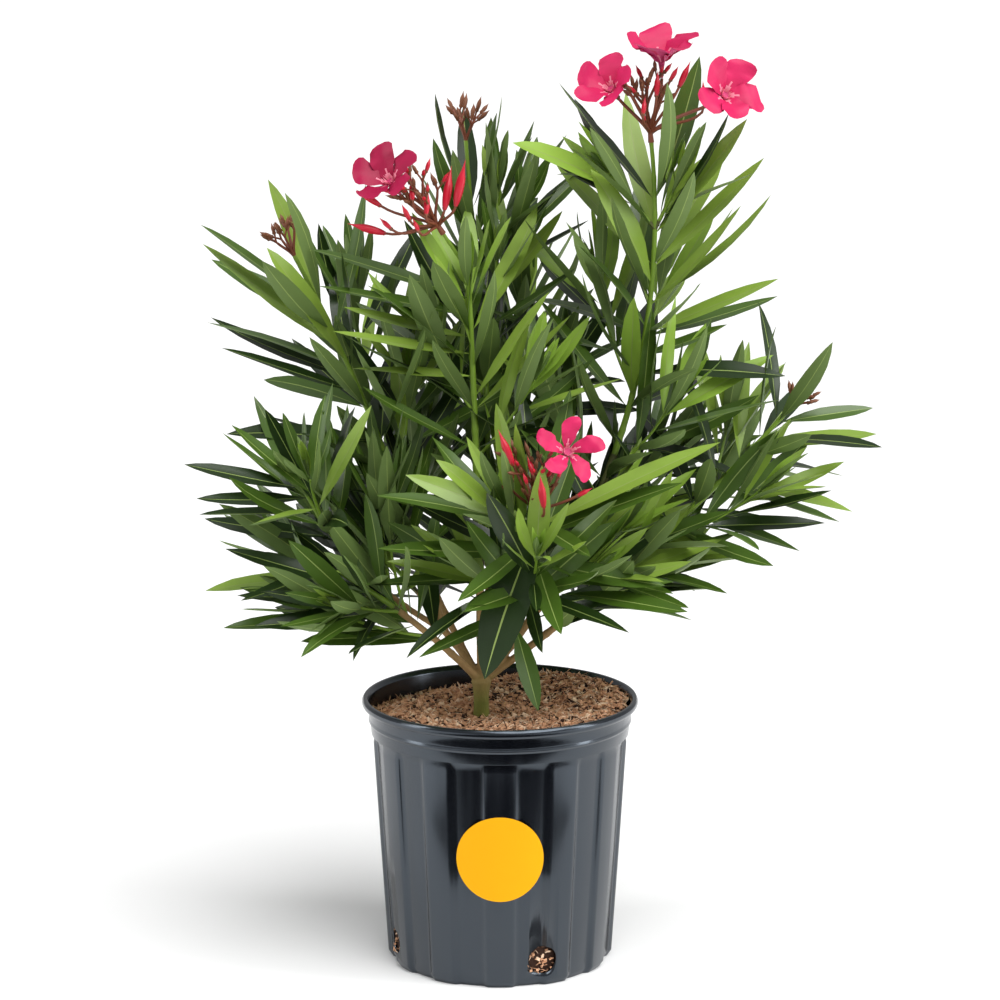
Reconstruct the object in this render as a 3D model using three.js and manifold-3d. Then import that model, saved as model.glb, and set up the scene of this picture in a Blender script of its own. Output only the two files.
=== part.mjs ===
// Potted oleander: an evergreen flowering shrub in a fluted round nursery pot.
// Origin at the centre of the pot's flat underside, +Z up, front towards -Y, in millimetres.
import * as THREE from 'three';
import { mergeVertices } from 'three/addons/utils/BufferGeometryUtils.js';
import Module from 'manifold-3d';

const wasm = await Module();
wasm.setup();

// Driving dimensions -------------------------------------------------------------------

const POT_HEIGHT = 247;
const RIM_RADIUS = 127;
const UNDERSIDE_RADIUS = 100.7;
const HEEL_RADIUS = 104.7;
const HEEL_HEIGHT = 6;
const BODY_TOP_RADIUS = 115.6;
const BODY_TOP_HEIGHT = 213;
const COLLAR_RADIUS = 119.5;
const COLLAR_STEP_HEIGHT = 224;
const WALL = 2.4;
const FLOOR = 3;

const PANELS = 24;               // flutes round the pot, raised and recessed in turn
const FLUTE_DEPTH = 1.25;        // each way from the plain cone
const FLUTE_EDGE = 1.4;          // half width of the slope between two panels, degrees
const COLUMNS_PER_PANEL = 2;

const DRAIN_HOLES = 4;
const DRAIN_RADIUS = 13;
const DRAIN_HEIGHT = 22;
const DRAIN_FIRST_ANGLE = 22;    // degrees from the front, towards +X

const SOIL_GAP = 0.7;
const SOIL_TOP = 237;
const SOIL_COLUMNS = 24;

const STEM_FOOT = new THREE.Vector2(-17, -36);
const FORK = new THREE.Vector3(-17, -33, 268);
const TRUNK_LEAN = new THREE.Vector2(0, 3);      // how far the fork stands from over the foot
const CONTACT_GAP = 0.35;
const MASS_GAP = 0.8;

const TRUNK_SIDES = 10;
const LIMB_SIDES = 6;
const LIMB_STEPS = 3;
const MASS_SIDES = 9;
const MASS_RINGS = 4;
const WHORL_LEAVES = 3;          // leaves stand in threes, so each mass has three lobes a ring
const LOBE = 0.13;
const UNEVEN = 0.09;

// Every limb grows from a fork or from a place along another limb, in mm from its start:
// turn is its compass heading (0 is +X, 90 is +Y), rise its angle above level, both in
// degrees; upturn and swing say how much those two change by its tip.
const LIMBS = {
  left_low: { turn: 210, rise: 46, length: 150, upturn: -10, swing: -10, foot: 4.2, tip: 3 },
  left: { turn: 155, rise: 56, length: 62, upturn: -10, swing: 10, foot: 4.4, tip: 4 },
  left_high: { on: 'left', at: 58, turn: 155, rise: 73, length: 360, upturn: -10, swing: 25, foot: 3.6, tip: 2.6 },
  left_out: { on: 'left', at: 60, turn: 200, rise: 30, length: 205, upturn: 35, swing: 5, foot: 3.4, tip: 2.6 },
  middle: { turn: 100, rise: 87, length: 405, upturn: 0, swing: 60, foot: 4.8, tip: 3 },
  flower_stalk: { on: 'middle', at: 375, turn: 205, rise: 55, length: 90, upturn: 0, swing: 0, foot: 2, tip: 1.6 },
  rear_high: { on: 'middle', at: 100, turn: 70, rise: 66, length: 425, upturn: 20, swing: 75, foot: 3.4, tip: 2.4 },
  leader: { turn: 15, rise: 47, length: 530, upturn: 50, swing: 5, foot: 4.6, tip: 2.8 },
  leader_left: { on: 'leader', at: 450, turn: 178, rise: 50, length: 85, upturn: 0, swing: 0, foot: 2, tip: 1.6 },
  leader_right: { on: 'leader', at: 450, turn: -10, rise: 62, length: 90, upturn: 15, swing: 0, foot: 2, tip: 1.6 },
  front: { turn: -25, rise: 55, length: 200, upturn: 5, swing: -75, foot: 4, tip: 3.2 },
  right: { turn: 10, rise: 34, length: 400, upturn: 15, swing: -5, foot: 4.2, tip: 2.6 },
  rear_right: { turn: 45, rise: 37, length: 340, upturn: 20, swing: -35, foot: 3.8, tip: 2.6 },
  rear: { turn: 85, rise: 47, length: 315, upturn: 15, swing: -5, foot: 4, tip: 2.6 },
  rear_left: { turn: 130, rise: 44, length: 425, upturn: 45, swing: 20, foot: 4, tip: 2.6 },
  rear_top: { on: 'rear', at: 190, turn: 55, rise: 68, length: 200, upturn: 15, swing: 0, foot: 2.6, tip: 2 },
  low_rear_left: { on: 'rear_left', at: 60, turn: 128, rise: 22, length: 165, upturn: 10, swing: 0, foot: 2.8, tip: 2.2 },
  low_rear_right: { on: 'rear', at: 60, turn: 38, rise: 20, length: 165, upturn: 12, swing: 0, foot: 2.8, tip: 2.2 },
};

// Limbs that show bare between the soil and the leaves, and how far each one runs.
const BARE_LIMBS = {
  left_low: 112,
  left: 60,
  left_high: 70,
  left_out: 70,
  middle: 112,
  leader: 150,
  front: 105,
  right: 112,
  rear_right: 105,
  rear: 100,
  rear_left: 100,
  low_rear_left: 60,
  low_rear_right: 60,
};

// Masses of leaves and heads of blossom, outermost first: the limb each one grows round,
// the stretch of it in mm (past its end for the leaf tips), the girth as a radius, where
// along the stretch it is fullest, and its width across and over the limb, as shares.
const MASSES = {
  flower_head_top: { limb: 'leader', from: 528, to: 640, girth: 90, full: 0.62 },
  flower_head_left: { limb: 'flower_stalk', from: 42, to: 150, girth: 52, full: 0.6 },
  flower_head_front: { limb: 'front', from: 250, to: 320, girth: 46, full: 0.5 },
  leaves_top_left: { limb: 'leader_left', from: 8, to: 150, girth: 46, full: 0.6 },
  leaves_top_right: { limb: 'leader_right', from: 8, to: 160, girth: 62, full: 0.62 },
  leaves_left_tip: { limb: 'left_out', from: 108, to: 290, girth: 122, full: 0.42, across: 0.7 },
  leaves_left_low: { limb: 'left_low', from: 78, to: 240, girth: 112, full: 0.48, over: 0.74 },
  leaves_right_tip: { limb: 'right', from: 300, to: 455, girth: 80, full: 0.4 },
  leaves_front: { limb: 'front', from: 112, to: 250, girth: 142, full: 0.45, over: 0.76 },
  leaves_left_high: { limb: 'left_high', from: 200, to: 420, girth: 118, full: 0.42, across: 0.68 },
  leaves_leader_high: { limb: 'leader', from: 372, to: 528, girth: 124, full: 0.45, across: 0.78 },
  leaves_middle_high: { limb: 'middle', from: 300, to: 470, girth: 88, full: 0.4 },
  leaves_rear_high: { limb: 'rear_high', from: 270, to: 440, girth: 72, full: 0.4 },
  leaves_rear_top: { limb: 'rear_top', from: 70, to: 270, girth: 82, full: 0.42 },
  leaves_rear_left_top: { limb: 'rear_left', from: 320, to: 495, girth: 76, full: 0.4 },
  leaves_rear_right_tip: { limb: 'rear_right', from: 225, to: 415, girth: 88, full: 0.4 },
  leaves_rear_tip: { limb: 'rear', from: 205, to: 390, girth: 92, full: 0.42 },
  leaves_low_rear_left: { limb: 'low_rear_left', from: 50, to: 240, girth: 80, full: 0.42 },
  leaves_low_rear_right: { limb: 'low_rear_right', from: 50, to: 240, girth: 80, full: 0.42 },
  leaves_right: { limb: 'right', from: 200, to: 318, girth: 84, full: 0.45 },
  leaves_left_middle: { limb: 'left_high', from: 90, to: 210, girth: 86, full: 0.45 },
  leaves_leader: { limb: 'leader', from: 250, to: 380, girth: 84, full: 0.45 },
  leaves_middle: { limb: 'middle', from: 190, to: 305, girth: 78, full: 0.45 },
  leaves_rear_left: { limb: 'rear_left', from: 205, to: 325, girth: 72, full: 0.45 },
  leaves_rear_middle: { limb: 'rear_high', from: 150, to: 280, girth: 58, full: 0.45 },
  leaves_right_low: { limb: 'right', from: 98, to: 205, girth: 70, full: 0.5 },
  leaves_leader_low: { limb: 'leader', from: 135, to: 255, girth: 66, full: 0.5 },
  leaves_middle_low: { limb: 'middle', from: 92, to: 195, girth: 76, full: 0.5 },
  leaves_rear_right: { limb: 'rear_right', from: 98, to: 230, girth: 74, full: 0.5 },
  leaves_rear: { limb: 'rear', from: 92, to: 210, girth: 70, full: 0.5 },
  leaves_rear_left_low: { limb: 'rear_left', from: 92, to: 210, girth: 68, full: 0.5 },
};

const paint = (color, roughness) => new THREE.MeshStandardMaterial({ color, roughness, metalness: 0 });

const POT_PLASTIC = paint(0x14171a, 0.35);
const BARK_MIX = paint(0x7a4e35, 0.95);
const BARK = paint(0x6f6a48, 0.8);
const LEAF = paint(0x3f6b2a, 0.5);
const BLOSSOM = paint(0xd8366f, 0.6);

// Solids ------------------------------------------------------------------------------

function solidOf(geometry) {
  geometry.deleteAttribute('normal');
  geometry.deleteAttribute('uv');
  const merged = mergeVertices(geometry, 1e-3);
  const index = merged.index.array;
  const triVerts = [];
  for (let i = 0; i < index.length; i += 3) {
    const [a, b, c] = [index[i], index[i + 1], index[i + 2]];
    if (a !== b && b !== c && c !== a) {
      triVerts.push(a, b, c);
    }
  }
  return new wasm.Manifold(new wasm.Mesh({
    numProp: 3,
    vertProperties: new Float32Array(merged.attributes.position.array),
    triVerts: new Uint32Array(triVerts),
  }));
}

function geometryOf(solid) {
  const { vertProperties, triVerts } = solid.getMesh();
  const geometry = new THREE.BufferGeometry();
  geometry.setAttribute('position', new THREE.BufferAttribute(vertProperties, 3));
  geometry.setIndex(new THREE.BufferAttribute(triVerts, 1));
  geometry.computeVertexNormals();
  return geometry;
}

function largestPiece(solid) {
  return solid.decompose().reduce((best, piece) => (piece.volume() > best.volume() ? piece : best));
}

// A steady unevenness between -1 and 1 for each combination of whole numbers.
function uneven(a, b, c) {
  const mixed = Math.sin(a * 12.9898 + b * 78.233 + c * 37.719) * 43758.5453;
  return 2 * (mixed - Math.floor(mixed)) - 1;
}

// Moves every vertex of a geometry: place takes a Vector3 and changes it.
function moveVertices(geometry, place) {
  const position = geometry.attributes.position;
  const vertex = new THREE.Vector3();
  for (let i = 0; i < position.count; i += 1) {
    vertex.fromBufferAttribute(position, i);
    place(vertex);
    position.setXYZ(i, vertex.x, vertex.y, vertex.z);
  }
}

// Pot ----------------------------------------------------------------------------------

// Angle of a lathe column from the front: the columns crowd at the edges of the panels.
function columnAngle(column) {
  const panel = Math.floor(column / COLUMNS_PER_PANEL);
  const place = column % COLUMNS_PER_PANEL ? 1 : -1;
  const half = 180 / PANELS - FLUTE_EDGE;
  return THREE.MathUtils.degToRad(panel * 360 / PANELS + place * half);
}

function potProfile() {
  const lip = RIM_RADIUS - 1.5;
  return [
    [0, 0],
    [UNDERSIDE_RADIUS, 0],
    [HEEL_RADIUS, HEEL_HEIGHT],
    [BODY_TOP_RADIUS - 0.4, BODY_TOP_HEIGHT - 8],
    [BODY_TOP_RADIUS, BODY_TOP_HEIGHT],
    [COLLAR_RADIUS - 1, BODY_TOP_HEIGHT + 0.5],
    [COLLAR_RADIUS, COLLAR_STEP_HEIGHT],
    [COLLAR_RADIUS + 1.7, COLLAR_STEP_HEIGHT + 2],
    [COLLAR_RADIUS + 2, POT_HEIGHT - 8.5],
    [lip, POT_HEIGHT - 8],
    [RIM_RADIUS, POT_HEIGHT - 5.5],
    [RIM_RADIUS, POT_HEIGHT - 2.5],
    [lip, POT_HEIGHT],
    [lip - 3, POT_HEIGHT],
    ...innerProfile().reverse(),
  ];
}

// The pot's inside, from the middle of its floor up to the rim.
function innerProfile() {
  return [
    [0, FLOOR],
    [HEEL_RADIUS - 6, FLOOR],
    [HEEL_RADIUS - WALL, HEEL_HEIGHT + 2],
    [BODY_TOP_RADIUS - WALL, BODY_TOP_HEIGHT],
    [COLLAR_RADIUS - 1, COLLAR_STEP_HEIGHT + 1],
    [COLLAR_RADIUS + 0.5, POT_HEIGHT - 4],
  ];
}

function potShell() {
  const columns = PANELS * COLUMNS_PER_PANEL;
  const profile = potProfile().map(([radius, height]) => new THREE.Vector2(radius, height));
  const geometry = new THREE.LatheGeometry(profile, columns);
  const rows = profile.length;
  let count = 0;
  moveVertices(geometry, (vertex) => {
    const column = Math.floor(count / rows) % columns;
    const row = count % rows;
    count += 1;
    const angle = columnAngle(column);
    const panel = Math.floor(column / COLUMNS_PER_PANEL);
    const fluted = row >= 1 && row <= 3;
    const radius = profile[row].x + (fluted ? FLUTE_DEPTH * (panel % 2 ? -1 : 1) : 0);
    vertex.set(radius * Math.sin(angle), -radius * Math.cos(angle), profile[row].y);
  });
  return solidOf(geometry);
}

function drainHole(angle) {
  const reach = 30;
  const bore = new THREE.CylinderGeometry(DRAIN_RADIUS, DRAIN_RADIUS, reach, 12);
  bore.translate(0, -HEEL_RADIUS, 0);
  bore.rotateX(Math.PI);
  moveVertices(bore, (vertex) => {
    const [x, y, z] = vertex.toArray();
    vertex.set(x, -y, z + DRAIN_HEIGHT);
  });
  bore.rotateZ(angle);
  return solidOf(bore);
}

function pot() {
  let solid = potShell();
  for (let i = 0; i < DRAIN_HOLES; i += 1) {
    const angle = THREE.MathUtils.degToRad(DRAIN_FIRST_ANGLE + i * 360 / DRAIN_HOLES);
    solid = solid.subtract(drainHole(angle));
  }
  return solid;
}

// Soil ---------------------------------------------------------------------------------

function innerRadius(height) {
  const profile = innerProfile();
  const above = profile.findIndex(([, z], i) => i > 0 && z >= height);
  const [[r0, z0], [r1, z1]] = [profile[above - 1], profile[above]];
  return r0 + (r1 - r0) * (height - z0) / (z1 - z0);
}

// The bark mix is level by the stem, heaps up a little at the rim and has sunk at the
// back left, where it leaves the inside of the wall bare.
function soilHeight(x, y) {
  const radius = Math.hypot(x, y);
  const outward = THREE.MathUtils.smoothstep(radius, 45, 105);
  const sunk = THREE.MathUtils.smoothstep((y - x) / Math.SQRT2, 50, 115);
  const ripple = Math.sin(x / 13 + 1) * Math.cos(y / 17) - 1;
  return SOIL_TOP + outward * (3 - 13 * sunk + ripple) - 0.3 * (1 - outward) * (1 + ripple) ** 2;
}

function soil() {
  const edge = COLLAR_RADIUS - 1;
  const top = [1, 0.85, 0.65, 0.42, 0.2, 0];
  const profile = [
    new THREE.Vector2(0, FLOOR + CONTACT_GAP),
    new THREE.Vector2(HEEL_RADIUS - 8, FLOOR + CONTACT_GAP),
    new THREE.Vector2(HEEL_RADIUS - WALL - SOIL_GAP - 0.2, HEEL_HEIGHT + 4),
    new THREE.Vector2(BODY_TOP_RADIUS - WALL - SOIL_GAP - 0.4, BODY_TOP_HEIGHT),
    ...top.map((share) => new THREE.Vector2(share * edge, SOIL_TOP)),
  ];
  const geometry = new THREE.LatheGeometry(profile, SOIL_COLUMNS, Math.PI / PANELS);
  geometry.rotateX(Math.PI / 2);
  moveVertices(geometry, (vertex) => {
    if (vertex.z < SOIL_TOP - 1) {
      return;
    }
    const height = soilHeight(vertex.x, vertex.y);
    const share = Math.hypot(vertex.x, vertex.y) / edge;
    const scale = (innerRadius(height) - SOIL_GAP - 0.3) / edge;
    vertex.x *= share > 0.99 ? scale : 0.98;
    vertex.y *= share > 0.99 ? scale : 0.98;
    vertex.z = height;
  });
  return solidOf(geometry);
}

// Trunk and limbs ----------------------------------------------------------------------

// The stem widens at the soil, tapers, and swells into a knobbly head where it forks.
function trunk(extra) {
  const foot = SOIL_TOP + CONTACT_GAP;
  const rise = FORK.z - foot;
  const outline = [
    [13.5, 0],
    [9.6, 0.2],
    [8.2, 0.5],
    [8.6, 0.78],
    [9.8, 1],
    [7.4, 1.18],
  ];
  const profile = [
    new THREE.Vector2(0, -extra),
    ...outline.map(([radius, share], i) => new THREE.Vector2(radius + extra, i ? share * rise : -extra)),
    new THREE.Vector2(0, 1.24 * rise + extra),
  ];
  const geometry = new THREE.LatheGeometry(profile, TRUNK_SIDES);
  geometry.rotateX(Math.PI / 2);
  moveVertices(geometry, (vertex) => {
    const share = THREE.MathUtils.clamp(vertex.z / rise, 0, 1.24);
    const angle = Math.atan2(vertex.y, vertex.x);
    const knob = 1 + 0.08 * Math.sin(3 * angle + 5 * share) + 0.05 * Math.sin(5 * angle + 1);
    vertex.x = vertex.x * knob + STEM_FOOT.x + TRUNK_LEAN.x * share;
    vertex.y = vertex.y * knob + STEM_FOOT.y + TRUNK_LEAN.y * share;
    vertex.z += foot;
  });
  return solidOf(geometry);
}

// The middle line of a limb, with straight run-ons before its start and past its tip.
const limbLines = {};

function limbLine(name) {
  if (limbLines[name]) {
    return limbLines[name];
  }
  const { on, at, turn, rise, length, upturn, swing } = LIMBS[name];
  const points = [on ? limbLine(on).point(at) : FORK.clone()];
  const steps = 16;
  for (let i = 0; i < steps; i += 1) {
    const share = (i + 0.5) / steps;
    const heading = THREE.MathUtils.degToRad(turn + swing * share);
    const climb = THREE.MathUtils.degToRad(rise + upturn * share);
    const step = new THREE.Vector3(
      Math.cos(climb) * Math.cos(heading),
      Math.cos(climb) * Math.sin(heading),
      Math.sin(climb),
    );
    points.push(points[i].clone().addScaledVector(step, length / steps));
  }
  const curve = new THREE.CatmullRomCurve3(points);
  const line = {
    direction: (distance) => curve.getTangentAt(THREE.MathUtils.clamp(distance / length, 0, 1)),
    point(distance) {
      const inside = THREE.MathUtils.clamp(distance, 0, length);
      return curve.getPointAt(inside / length)
        .addScaledVector(line.direction(distance), distance - inside);
    },
  };
  limbLines[name] = line;
  return line;
}

// Bends an upright lathed form, one unit tall, along a stretch of a limb.
function bendAlong(geometry, line, from, to) {
  const chord = line.point(to).sub(line.point(from)).normalize();
  const level = new THREE.Vector3(chord.y, -chord.x, 0.01).normalize();
  moveVertices(geometry, (vertex) => {
    const distance = from + vertex.y * (to - from);
    const along = line.direction(distance);
    const side = level.clone().addScaledVector(along, -level.dot(along)).normalize();
    const out = side.clone().cross(along);
    const place = line.point(distance)
      .addScaledVector(side, vertex.x)
      .addScaledVector(out, vertex.z);
    vertex.copy(place);
  });
  return geometry;
}

function bareLimb(name, extra) {
  const { foot, tip, length } = LIMBS[name];
  const reach = BARE_LIMBS[name];
  const profile = [new THREE.Vector2(0, 0)];
  for (let i = 0; i <= LIMB_STEPS; i += 1) {
    const share = i / LIMB_STEPS;
    const radius = THREE.MathUtils.lerp(foot, tip, share * reach / length);
    profile.push(new THREE.Vector2(radius + extra, share));
  }
  profile.push(new THREE.Vector2(0, 1));
  const geometry = new THREE.LatheGeometry(profile, LIMB_SIDES);
  return solidOf(bendAlong(geometry, limbLine(name), 2 - extra, reach + extra));
}

// A mass is a spindle of leaves round its limb: three lobes on every ring, each ring
// turned half a lobe from the one below, and no two radii quite alike.
function mass(name, extra) {
  const { limb, from, to, girth, full, across = 1, over = 1 } = MASSES[name];
  const seed = Object.keys(MASSES).indexOf(name) + 1;
  const ease = Math.log(0.5) / Math.log(full);
  const profile = [new THREE.Vector2(0, 0)];
  for (let ring = 1; ring <= MASS_RINGS; ring += 1) {
    const share = ring / (MASS_RINGS + 1);
    profile.push(new THREE.Vector2(girth * Math.sin(Math.PI * share ** ease) ** 0.8, share));
  }
  profile.push(new THREE.Vector2(0, 1));
  const rows = profile.length;
  const geometry = new THREE.LatheGeometry(profile, MASS_SIDES);
  let count = 0;
  moveVertices(geometry, (vertex) => {
    const column = Math.floor(count / rows) % MASS_SIDES;
    const ring = count % rows;
    count += 1;
    const angle = 2 * Math.PI * column / MASS_SIDES;
    const lobe = Math.cos(WHORL_LEAVES * angle + ring * Math.PI);
    const radius = profile[ring].x * (1 + LOBE * lobe + UNEVEN * uneven(seed, ring, column));
    const inside = ring > 0 && ring < rows - 1;
    const grown = inside ? radius + extra / Math.min(across, over) : 0;
    vertex.set(across * grown * Math.sin(angle), vertex.y, over * grown * Math.cos(angle));
  });
  return solidOf(bendAlong(geometry, limbLine(limb), from - extra, to + extra));
}

// Assembly -----------------------------------------------------------------------------

const group = new THREE.Group();

function add(name, solid, material) {
  const mesh = new THREE.Mesh(geometryOf(solid), material);
  mesh.name = name;
  group.add(mesh);
}

// Each solid is cut clear of all those placed before it, and leaves its own room.
const taken = [];

function settle(name, make, gap, material) {
  let solid = make(0);
  for (const room of taken) {
    solid = solid.subtract(room);
  }
  taken.push(make(gap));
  add(name, largestPiece(solid), material);
}

add('pot', pot(), POT_PLASTIC);
add('soil', soil(), BARK_MIX);
settle('trunk', trunk, CONTACT_GAP, BARK);
for (const name of Object.keys(MASSES)) {
  const material = name.startsWith('flower') ? BLOSSOM : LEAF;
  settle(name, (extra) => mass(name, extra), MASS_GAP, material);
}
for (const name of Object.keys(BARE_LIMBS)) {
  settle(`bough_${name}`, (extra) => bareLimb(name, extra), CONTACT_GAP, BARK);
}

export default group;
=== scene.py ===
"""Potted oleander: shoots, leaves, blossom, bark, bark mix and pot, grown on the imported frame.

Metres, +Z up, front of the plant towards -Y, origin at the middle of the pot's underside.
"""
import math
from collections import namedtuple

import bmesh
import bpy
import numpy as np
from mathutils import Matrix, Vector, noise


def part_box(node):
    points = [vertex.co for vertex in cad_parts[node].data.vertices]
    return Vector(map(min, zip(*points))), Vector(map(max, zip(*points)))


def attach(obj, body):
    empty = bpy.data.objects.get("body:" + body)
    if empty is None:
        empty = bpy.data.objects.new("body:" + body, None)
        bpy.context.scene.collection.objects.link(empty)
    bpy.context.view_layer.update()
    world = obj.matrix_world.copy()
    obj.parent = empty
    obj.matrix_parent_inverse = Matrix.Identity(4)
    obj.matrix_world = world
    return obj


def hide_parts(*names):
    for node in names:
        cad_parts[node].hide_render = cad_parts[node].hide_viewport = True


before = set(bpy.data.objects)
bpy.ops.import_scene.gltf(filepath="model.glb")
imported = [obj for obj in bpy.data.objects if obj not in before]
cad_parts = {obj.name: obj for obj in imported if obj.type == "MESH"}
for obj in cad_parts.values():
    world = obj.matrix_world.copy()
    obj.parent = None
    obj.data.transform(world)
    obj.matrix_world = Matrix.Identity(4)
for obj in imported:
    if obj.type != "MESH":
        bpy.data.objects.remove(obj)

MM = 0.001
UP = np.array([0.0, 0.0, 1.0])
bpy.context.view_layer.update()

# Camera and light ---------------------------------------------------------------------

CAMERA_DISTANCE = 3.0
CAMERA_HEIGHT = 1.0208
CAMERA_PITCH = 11.13             # degrees downwards
LENS = 120.9
FLOOR_SIZE = 60.0
WORLD_LIGHT = 0.37
SUN_POWER = 3.5
SUN_BREADTH = 55                 # degrees
SUN_WAY = (-0.42, 0.62, -1.25)
STRIP_PLACE = (1.9, -0.5, 0.9)   # the right-hand one; the left-hand one mirrors it
STRIP_AIM = (0, 0, 0.35)
STRIP_SIZE = (0.5, 1.8)
STRIP_POWER = 16
FLAG_PLACE = (0.02, -1.05, 0.002)
FLAG_HALF_SIZE = (0.56, 0.76)


def in_scene(name, data):
    """A new object made from this data and linked to the scene."""
    made = bpy.data.objects.new(name, data)
    bpy.context.scene.collection.objects.link(made)
    return made


def aimed(way):
    """The rotation that points a lamp this way."""
    return Vector(way).to_track_quat("-Z", "Y").to_euler()


def set_inputs(node, values):
    for name, value in values.items():
        node.inputs[name].default_value = value
    return node


def add_node(tree, kind, values=()):
    return set_inputs(tree.nodes.new(kind), dict(values))


def wire(source, output, target, entry):
    source.id_data.links.new(source.outputs[output], target.inputs[entry])


def set_camera():
    lens = bpy.data.cameras.new("studio_camera")
    lens.sensor_width = 36
    lens.lens = LENS
    camera = in_scene("studio_camera", lens)
    camera.location = (0, -CAMERA_DISTANCE, CAMERA_HEIGHT)
    camera.rotation_euler = (math.radians(90 - CAMERA_PITCH), 0, 0)
    bpy.context.scene.camera = camera


def strip_light(name, side):
    """A tall softbox to the left (-1) or the right (1) of the plant."""
    light = bpy.data.lights.new(name, "AREA")
    light.shape = "RECTANGLE"
    light.size, light.size_y = STRIP_SIZE
    light.energy = STRIP_POWER
    lamp = in_scene(name, light)
    lamp.location = (side * STRIP_PLACE[0], *STRIP_PLACE[1:])
    lamp.rotation_euler = aimed(Vector(STRIP_AIM) - lamp.location)


def set_lights():
    sun = bpy.data.lights.new("key", "SUN")
    sun.energy = SUN_POWER
    sun.angle = math.radians(SUN_BREADTH)
    in_scene("key", sun).rotation_euler = aimed(SUN_WAY)
    strip_light("left_strip", -1)
    strip_light("right_strip", 1)
    world = bpy.data.worlds.new("studio")
    bpy.context.scene.world = world
    world.use_nodes = True
    tree = world.node_tree
    backdrop = set_inputs(tree.nodes["Background"], {"Color": (1, 1, 1, 1)})
    rays = add_node(tree, "ShaderNodeLightPath")
    strength = add_node(tree, "ShaderNodeMapRange", {"To Min": WORLD_LIGHT, "To Max": 1.0})
    wire(rays, "Is Camera Ray", strength, "Value")
    wire(strength, "Result", backdrop, "Strength")
    bpy.context.scene.view_settings.view_transform = "Standard"


# Materials ----------------------------------------------------------------------------


def linear(red, green, blue):
    """A colour as a painter reads it, 0 to 255, made linear."""
    channels = [c / 255 for c in (red, green, blue)]
    return [c / 12.92 if c <= 0.04045 else ((c + 0.055) / 1.055) ** 2.4 for c in channels]


def socket(group, name, kind, way="INPUT", value=None):
    made = group.interface.new_socket(name, in_out=way, socket_type=kind)
    if value is not None:
        made.default_value = value


def mottle_group():
    """Cloudy variation of a colour over the surface, and a fine grain for its relief."""
    group = bpy.data.node_groups.new("mottle", "ShaderNodeTree")
    socket(group, "Colour", "NodeSocketColor", value=(0.5, 0.5, 0.5, 1))
    for name, value in (("Shade", 0.3), ("Size", 60), ("Grain", 600)):
        socket(group, name, "NodeSocketFloat", value=value)
    socket(group, "Colour", "NodeSocketColor", "OUTPUT")
    socket(group, "Relief", "NodeSocketFloat", "OUTPUT")
    given = add_node(group, "NodeGroupInput")
    result = add_node(group, "NodeGroupOutput")
    place = add_node(group, "ShaderNodeTexCoord")
    cloud = add_node(group, "ShaderNodeTexNoise", {"Detail": 4})
    grain = add_node(group, "ShaderNodeTexNoise", {"Detail": 3})
    depth = add_node(group, "ShaderNodeMath")
    depth.operation = "MULTIPLY"
    darker = add_node(group, "ShaderNodeMix")
    darker.data_type = "RGBA"
    darker.blend_type = "MULTIPLY"
    set_inputs(darker, {"B": (0.25, 0.3, 0.2, 1)})
    wire(place, "Object", cloud, "Vector")
    wire(place, "Object", grain, "Vector")
    wire(given, "Size", cloud, "Scale")
    wire(given, "Grain", grain, "Scale")
    wire(cloud, "Fac", depth, 0)
    wire(given, "Shade", depth, 1)
    wire(depth, "Value", darker, "Factor")
    wire(given, "Colour", darker, "A")
    wire(darker, "Result", result, "Colour")
    wire(grain, "Fac", result, "Relief")
    return group


MOTTLE = mottle_group()


def finish(name, colour, roughness, shade=0.3, size=60, grain=600, relief=0.1, rise=0.3, gloss=0.5):
    """A material of one colour with its own mottling and relief; rise is in millimetres."""
    material = bpy.data.materials.new(name)
    material.use_nodes = True
    tree = material.node_tree
    surface = set_inputs(tree.nodes["Principled BSDF"], {"Roughness": roughness, "Specular IOR Level": gloss})
    mottle = add_node(tree, "ShaderNodeGroup")
    mottle.node_tree = MOTTLE
    set_inputs(mottle, {"Colour": (*colour, 1), "Shade": shade, "Size": size, "Grain": grain})
    bump = add_node(tree, "ShaderNodeBump", {"Strength": relief, "Distance": rise * MM})
    wire(mottle, "Colour", surface, "Base Color")
    wire(mottle, "Relief", bump, "Height")
    wire(bump, "Normal", surface, "Normal")
    return material


# Leaf greens, which vary with age and at random; the darkest also paints shade and the lightest also paints
# light and sheen, by where the leaves sit on the plant.
LEAF_TINTS_AND_SHADES = [
    finish("leaf_dark_and_shaded", linear(27, 48, 10), 0.34, gloss=0.5),
    finish("leaf_mid", linear(68, 96, 27), 0.35, gloss=0.5),
    finish("leaf_light_and_lit", linear(134, 163, 62), 0.37, gloss=0.5),
    finish("leaf_young", linear(138, 172, 62), 0.4, shade=0.2, gloss=0.45),
]
DARK_AND_SHADED, MID, LIGHT_AND_LIT, YOUNG = range(4)
LEAF_SLOTS = LEAF_TINTS_AND_SHADES + [
    finish("midrib", linear(140, 160, 84), 0.5, shade=0.2),
    finish("leaf_back", linear(100, 124, 60), 0.65, shade=0.25),
]
RIB_SLOT, BACK_SLOT = 4, 5

SHOOT_SLOTS = [
    finish("shoot_olive", linear(86, 90, 44), 0.6, size=90, grain=300, relief=0.4),
    finish("shoot_green", linear(118, 150, 42), 0.5, shade=0.25),
]
OLIVE, GREEN = range(2)

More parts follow.
